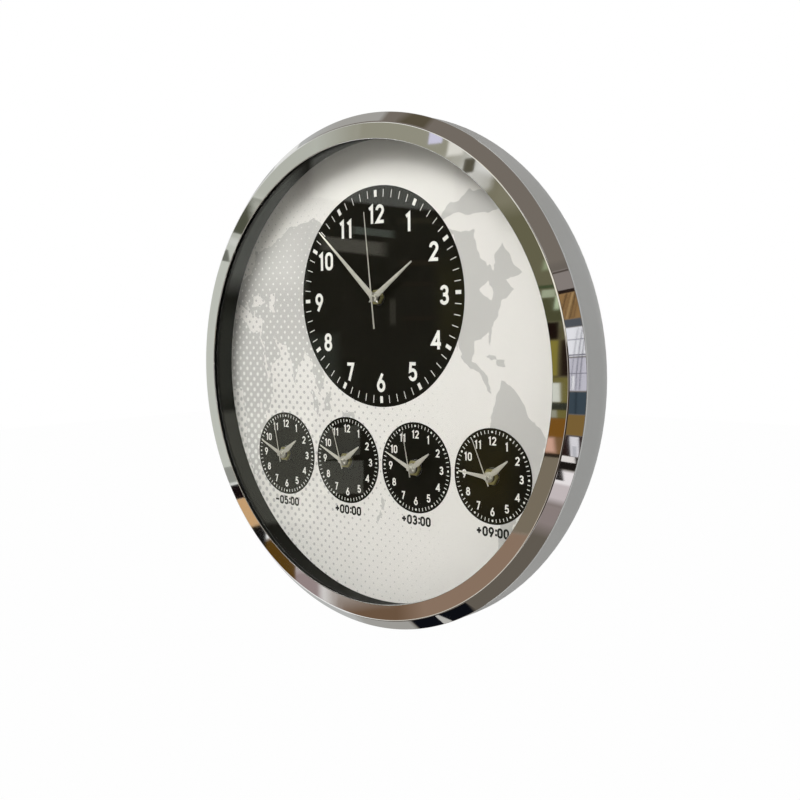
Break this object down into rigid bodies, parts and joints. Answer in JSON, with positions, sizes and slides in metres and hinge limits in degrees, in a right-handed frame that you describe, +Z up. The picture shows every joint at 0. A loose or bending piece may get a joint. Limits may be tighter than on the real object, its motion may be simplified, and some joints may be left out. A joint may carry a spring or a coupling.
{
  "type": "world time wall clock",
  "caption": "Round wall clock with a chrome bezel, silver side and glass, showing one large and several small time dials, each with its own battery quartz movement and hands.",
  "frame": {"origin": "centre of the flat rear rim, where the dial axis meets the wall", "axes": "+Z up, +X to the right as seen from the front, +Y into the wall, so the dial faces -Y"},
  "size_m": [0.3999, 0.0438, 0.4],
  "materials": {
    "chrome_bezel": "bright chrome plating on plastic",
    "silver_side": "satin silver paint",
    "clear_glass": "clear float",
    "black_rubber": "matt",
    "black_ring": "gloss black",
    "dial_paper": "printed satin film",
    "hardboard": "raw hardboard",
    "steel": "zinc plated",
    "movement_plastic": "fine texture",
    "brass_fixing": "turned",
    "cell_sleeve": "printed sleeve",
    "circuit_green": "solder mask",
    "copper_wire": "enamelled wire",
    "hand_metal": "satin",
    "wheel_plastic": "moulded",
    "knob_plastic": "moulded",
    "rotor_magnet": "plastic-bonded magnet"
  },
  "bodies": {
    "case": {"bezel_ring": "chrome_bezel", "case_ring": "silver_side", "lens_glass": "clear_glass", "lens_gasket": "black_rubber", "inner_ring": "black_ring", "dial_sheet": "dial_paper", "dial_board": "hardboard", "case_screws": "steel", "wall_hanger": "steel", "hanger_screws": "steel", "movement_housings": "movement_plastic", "movement_covers": "movement_plastic", "rubber_washers": "black_rubber", "fixing_washers": "brass_fixing", "fixing_nuts": "brass_fixing", "batteries": "cell_sleeve", "battery_contacts": "steel", "circuit_boards": "circuit_green", "drive_coils": "copper_wire", "stators": "steel"},
    "main_second": {"main_second_hand": "hand_metal", "main_second_wheel": "wheel_plastic"},
    "main_minute": {"main_minute_hand": "hand_metal", "main_cannon_pinion": "wheel_plastic"},
    "main_hour": {"main_hour_hand": "hand_metal", "main_hour_wheel": "wheel_plastic"},
    "main_setting": {"main_setting_knob": "knob_plastic"},
    "zone1_second": {"zone1_second_hand": "hand_metal", "zone1_second_wheel": "wheel_plastic"},
    "zone1_minute": {"zone1_minute_hand": "hand_metal", "zone1_cannon_pinion": "wheel_plastic"},
    "zone1_hour": {"zone1_hour_hand": "hand_metal", "zone1_hour_wheel": "wheel_plastic"},
    "zone1_setting": {"zone1_setting_knob": "knob_plastic"},
    "zone2_second": {"zone2_second_hand": "hand_metal", "zone2_second_wheel": "wheel_plastic"},
    "zone2_minute": {"zone2_minute_hand": "hand_metal", "zone2_cannon_pinion": "wheel_plastic"},
    "zone2_hour": {"zone2_hour_hand": "hand_metal", "zone2_hour_wheel": "wheel_plastic"},
    "zone2_setting": {"zone2_setting_knob": "knob_plastic"},
    "zone3_second": {"zone3_second_hand": "hand_metal", "zone3_second_wheel": "wheel_plastic"},
    "zone3_minute": {"zone3_minute_hand": "hand_metal", "zone3_cannon_pinion": "wheel_plastic"},
    "zone3_hour": {"zone3_hour_hand": "hand_metal", "zone3_hour_wheel": "wheel_plastic"},
    "zone3_setting": {"zone3_setting_knob": "knob_plastic"},
    "zone4_second": {"zone4_second_hand": "hand_metal", "zone4_second_wheel": "wheel_plastic"},
    "zone4_minute": {"zone4_minute_hand": "hand_metal", "zone4_cannon_pinion": "wheel_plastic"},
    "zone4_hour": {"zone4_hour_hand": "hand_metal", "zone4_hour_wheel": "wheel_plastic"},
    "zone4_setting": {"zone4_setting_knob": "knob_plastic"},
    "main_rotor": {"main_rotor": "rotor_magnet"},
    "main_fifth_wheel": {"main_fifth_wheel": "wheel_plastic"},
    "main_third_wheel": {"main_third_wheel": "wheel_plastic"},
    "main_centre_wheel": {"main_centre_wheel": "wheel_plastic"}
  },
  "joints": [
    {"name": "main_second_spin", "type": "hinge", "parent": "case", "child": "main_second", "pos_m": [0, 0, 0.06], "axis": [0, 1, 0], "continuous": true},
    {"name": "main_minute_spin", "type": "hinge", "parent": "case", "child": "main_minute", "pos_m": [0, 0, 0.06], "axis": [0, 1, 0], "continuous": true},
    {"name": "main_hour_spin", "type": "hinge", "parent": "case", "child": "main_hour", "pos_m": [0, 0, 0.06], "axis": [0, 1, 0], "continuous": true},
    {"name": "main_setting_spin", "type": "hinge", "parent": "case", "child": "main_setting", "pos_m": [0.00707, 0, 0.06707], "axis": [0, 1, 0], "continuous": true},
    {"name": "zone1_second_spin", "type": "hinge", "parent": "case", "child": "zone1_second", "pos_m": [-0.1113, 0, -0.0721], "axis": [0, 1, 0], "continuous": true},
    {"name": "zone1_minute_spin", "type": "hinge", "parent": "case", "child": "zone1_minute", "pos_m": [-0.1113, 0, -0.0721], "axis": [0, 1, 0], "continuous": true},
    {"name": "zone1_hour_spin", "type": "hinge", "parent": "case", "child": "zone1_hour", "pos_m": [-0.1113, 0, -0.0721], "axis": [0, 1, 0], "continuous": true},
    {"name": "zone1_setting_spin", "type": "hinge", "parent": "case", "child": "zone1_setting", "pos_m": [-0.10423, 0, -0.06503], "axis": [0, 1, 0], "continuous": true},
    {"name": "zone2_second_spin", "type": "hinge", "parent": "case", "child": "zone2_second", "pos_m": [-0.0371, 0, -0.0721], "axis": [0, 1, 0], "continuous": true},
    {"name": "zone2_minute_spin", "type": "hinge", "parent": "case", "child": "zone2_minute", "pos_m": [-0.0371, 0, -0.0721], "axis": [0, 1, 0], "continuous": true},
    {"name": "zone2_hour_spin", "type": "hinge", "parent": "case", "child": "zone2_hour", "pos_m": [-0.0371, 0, -0.0721], "axis": [0, 1, 0], "continuous": true},
    {"name": "zone2_setting_spin", "type": "hinge", "parent": "case", "child": "zone2_setting", "pos_m": [-0.03003, 0, -0.06503], "axis": [0, 1, 0], "continuous": true},
    {"name": "zone3_second_spin", "type": "hinge", "parent": "case", "child": "zone3_second", "pos_m": [0.0371, 0, -0.0721], "axis": [0, 1, 0], "continuous": true},
    {"name": "zone3_minute_spin", "type": "hinge", "parent": "case", "child": "zone3_minute", "pos_m": [0.0371, 0, -0.0721], "axis": [0, 1, 0], "continuous": true},
    {"name": "zone3_hour_spin", "type": "hinge", "parent": "case", "child": "zone3_hour", "pos_m": [0.0371, 0, -0.0721], "axis": [0, 1, 0], "continuous": true},
    {"name": "zone3_setting_spin", "type": "hinge", "parent": "case", "child": "zone3_setting", "pos_m": [0.04417, 0, -0.06503], "axis": [0, 1, 0], "continuous": true},
    {"name": "zone4_second_spin", "type": "hinge", "parent": "case", "child": "zone4_second", "pos_m": [0.1113, 0, -0.0721], "axis": [0, 1, 0], "continuous": true},
    {"name": "zone4_minute_spin", "type": "hinge", "parent": "case", "child": "zone4_minute", "pos_m": [0.1113, 0, -0.0721], "axis": [0, 1, 0], "continuous": true},
    {"name": "zone4_hour_spin", "type": "hinge", "parent": "case", "child": "zone4_hour", "pos_m": [0.1113, 0, -0.0721], "axis": [0, 1, 0], "continuous": true},
    {"name": "zone4_setting_spin", "type": "hinge", "parent": "case", "child": "zone4_setting", "pos_m": [0.11837, 0, -0.06503], "axis": [0, 1, 0], "continuous": true},
    {"name": "main_rotor_spin", "type": "hinge", "parent": "case", "child": "main_rotor", "pos_m": [-0.01405, 0, 0.05743], "axis": [0, 1, 0], "continuous": true},
    {"name": "main_fifth_wheel_spin", "type": "hinge", "parent": "case", "child": "main_fifth_wheel", "pos_m": [-0.00705, 0, 0.05743], "axis": [0, 1, 0], "continuous": true},
    {"name": "main_third_wheel_spin", "type": "hinge", "parent": "case", "child": "main_third_wheel", "pos_m": [-0.00601, 0, 0.06601], "axis": [0, 1, 0], "continuous": true},
    {"name": "main_centre_wheel_spin", "type": "hinge", "parent": "case", "child": "main_centre_wheel", "pos_m": [0, 0, 0.06], "axis": [0, 1, 0], "continuous": true}
  ],
  "couplings": [
    {"joint": "main_hour_spin", "follows": "main_minute_spin", "ratio": 0.083333},
    {"joint": "main_setting_spin", "follows": "main_minute_spin", "ratio": -0.33333},
    {"joint": "zone1_hour_spin", "follows": "zone1_minute_spin", "ratio": 0.083333},
    {"joint": "zone1_setting_spin", "follows": "zone1_minute_spin", "ratio": -0.33333},
    {"joint": "zone2_hour_spin", "follows": "zone2_minute_spin", "ratio": 0.083333},
    {"joint": "zone2_setting_spin", "follows": "zone2_minute_spin", "ratio": -0.33333},
    {"joint": "zone3_hour_spin", "follows": "zone3_minute_spin", "ratio": 0.083333},
    {"joint": "zone3_setting_spin", "follows": "zone3_minute_spin", "ratio": -0.33333},
    {"joint": "zone4_hour_spin", "follows": "zone4_minute_spin", "ratio": 0.083333},
    {"joint": "zone4_setting_spin", "follows": "zone4_minute_spin", "ratio": -0.33333},
    {"joint": "main_rotor_spin", "follows": "main_second_spin", "ratio": 30},
    {"joint": "main_fifth_wheel_spin", "follows": "main_second_spin", "ratio": -5},
    {"joint": "main_third_wheel_spin", "follows": "main_second_spin", "ratio": -0.13333},
    {"joint": "main_centre_wheel_spin", "follows": "main_second_spin", "ratio": 0.016667}
  ]
}
